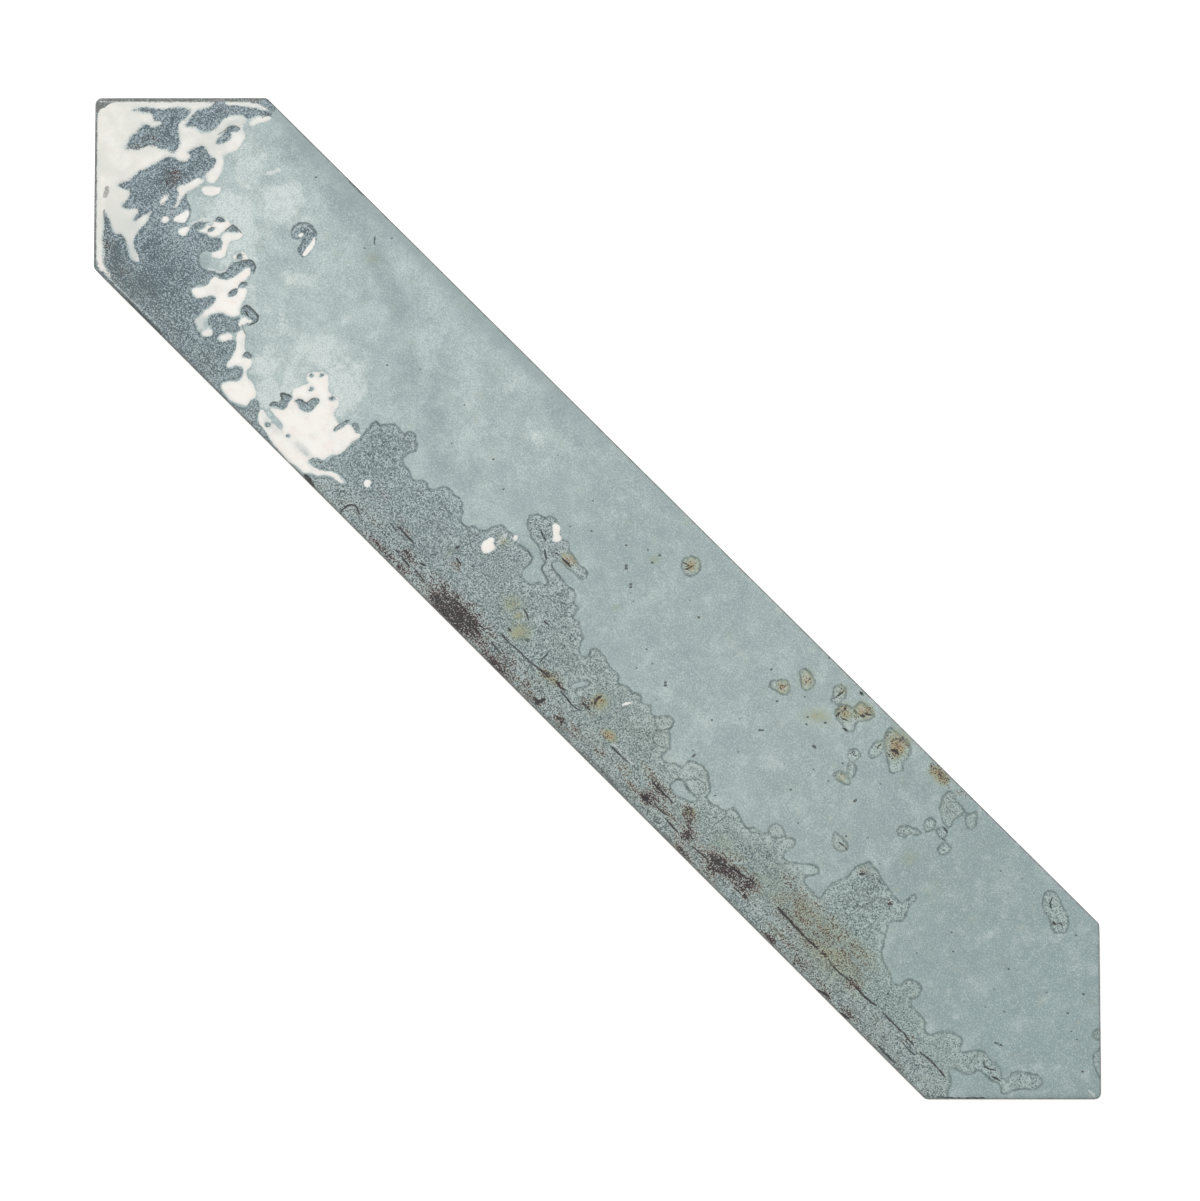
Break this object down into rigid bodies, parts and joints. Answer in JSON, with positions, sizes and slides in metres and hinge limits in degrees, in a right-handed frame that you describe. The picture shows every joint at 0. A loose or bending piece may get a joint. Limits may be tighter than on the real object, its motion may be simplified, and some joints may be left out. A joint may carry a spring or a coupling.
{
  "type": "picket tile",
  "caption": "Long six-sided glazed ceramic wall tile with a right-angled point at each end, an undulating face and a grooved back.",
  "frame": {"origin": "middle of the back, on the land between the two middle keying grooves", "axes": "+X along the tile towards one point, +Y across the width, +Z out of the glazed face"},
  "size_m": [0.3756, 0.065, 0.0094],
  "materials": {
    "glazed_ceramic": "pale grey-green reactive glaze, glossy, over a bare pale grey fired body"
  },
  "bodies": {
    "root": {"picket_tile": "glazed_ceramic"}
  },
  "joints": []
}
